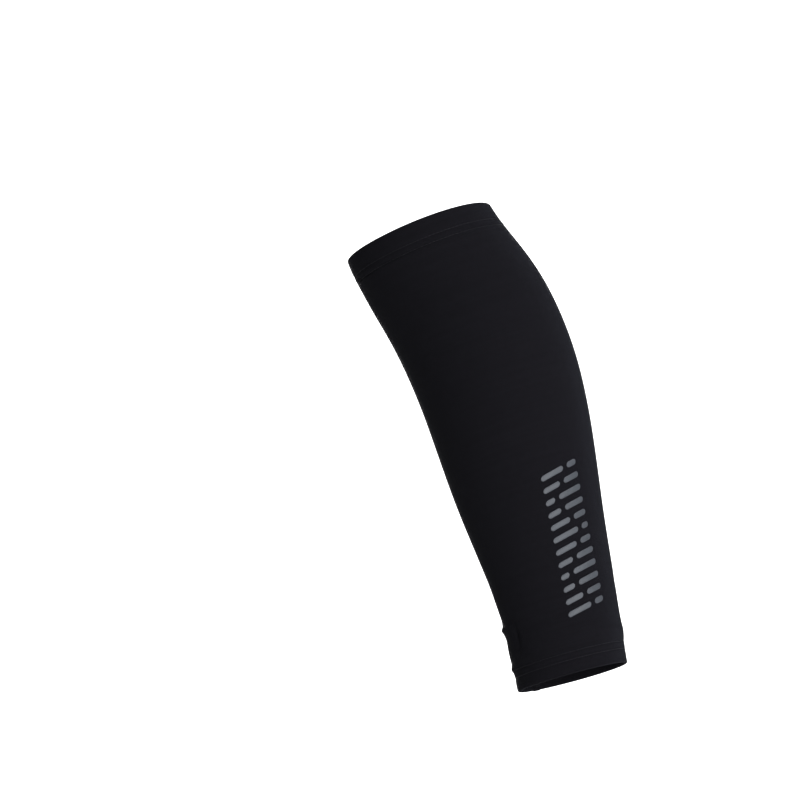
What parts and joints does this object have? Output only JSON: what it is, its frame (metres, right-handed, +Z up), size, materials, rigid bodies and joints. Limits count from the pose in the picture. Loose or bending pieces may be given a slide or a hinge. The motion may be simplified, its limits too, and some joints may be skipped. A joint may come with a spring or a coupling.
{
  "type": "calf compression sleeve",
  "caption": "Calf compression sleeve: a tapered tube of black stretch knit with turned hems and a flat seam, in the form it takes on a lower leg.",
  "frame": {"origin": "middle of the calf's fullest girth, where the sleeve grips the leg", "axes": "+Z up the leg, from the ankle opening to the knee opening; +X to the back of the calf; +Y to the leg's outer side"},
  "size_m": [0.1266, 0.1074, 0.3253],
  "materials": {
    "sleeve_knit": "matte stretch knit",
    "seam_thread": "satin textured thread",
    "print_film": "matte screen print"
  },
  "bodies": {
    "root": {"calf_body": "sleeve_knit", "top_hem": "sleeve_knit", "bottom_hem": "sleeve_knit", "flat_seam": "seam_thread"}
  },
  "joints": []
}
